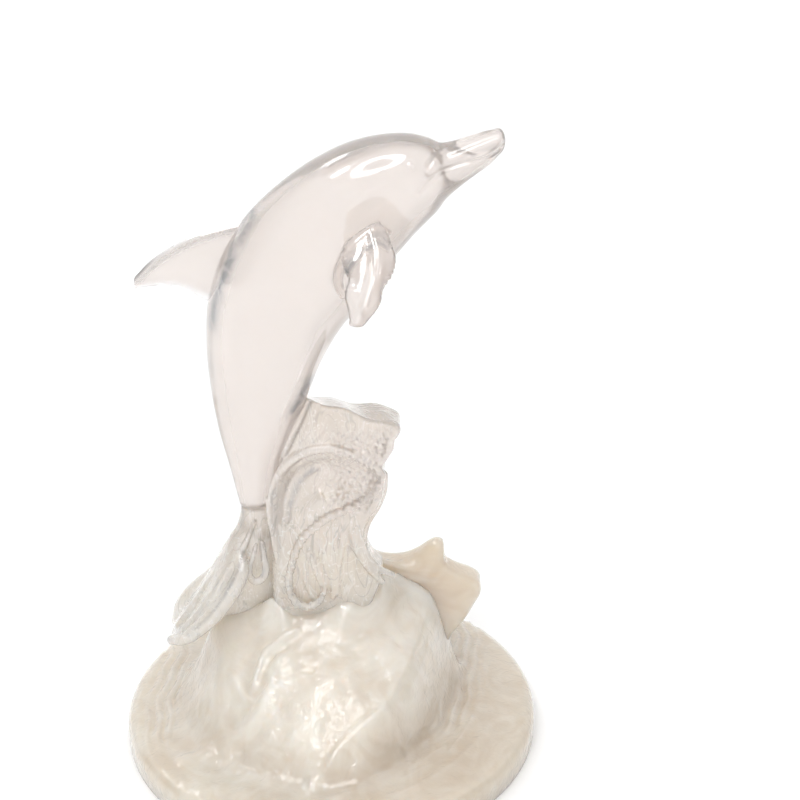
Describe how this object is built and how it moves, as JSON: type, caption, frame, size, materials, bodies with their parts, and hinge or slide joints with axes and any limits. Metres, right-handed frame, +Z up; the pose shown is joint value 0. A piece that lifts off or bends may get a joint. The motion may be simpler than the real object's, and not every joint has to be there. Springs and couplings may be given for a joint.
{
  "type": "crystal glass figurine",
  "caption": "Clear crystal glass dolphin leaping from a satin-frosted breaking wave on a round foot; free-standing ornament for a shelf or desk.",
  "frame": {"origin": "centre of the foot's underside, on the surface the figurine stands on", "axes": "+Z up, +X the way the dolphin's beak points, -Y the side its right flank looks to"},
  "size_m": [0.1012, 0.1012, 0.1514],
  "materials": {
    "clear_crystal": "fire-polished, clear, with a faint rosy tint",
    "satin_crystal": "satin acid-frosted and milky on the mound, with a thin wet gloss on its folds"
  },
  "bodies": {
    "root": {"dolphin_body": "clear_crystal", "dorsal_fin": "clear_crystal", "right_flipper": "clear_crystal", "left_flipper": "clear_crystal", "tail_flukes": "clear_crystal", "wave_crest": "clear_crystal", "rear_wave": "satin_crystal", "wave_base": "satin_crystal"}
  },
  "joints": []
}
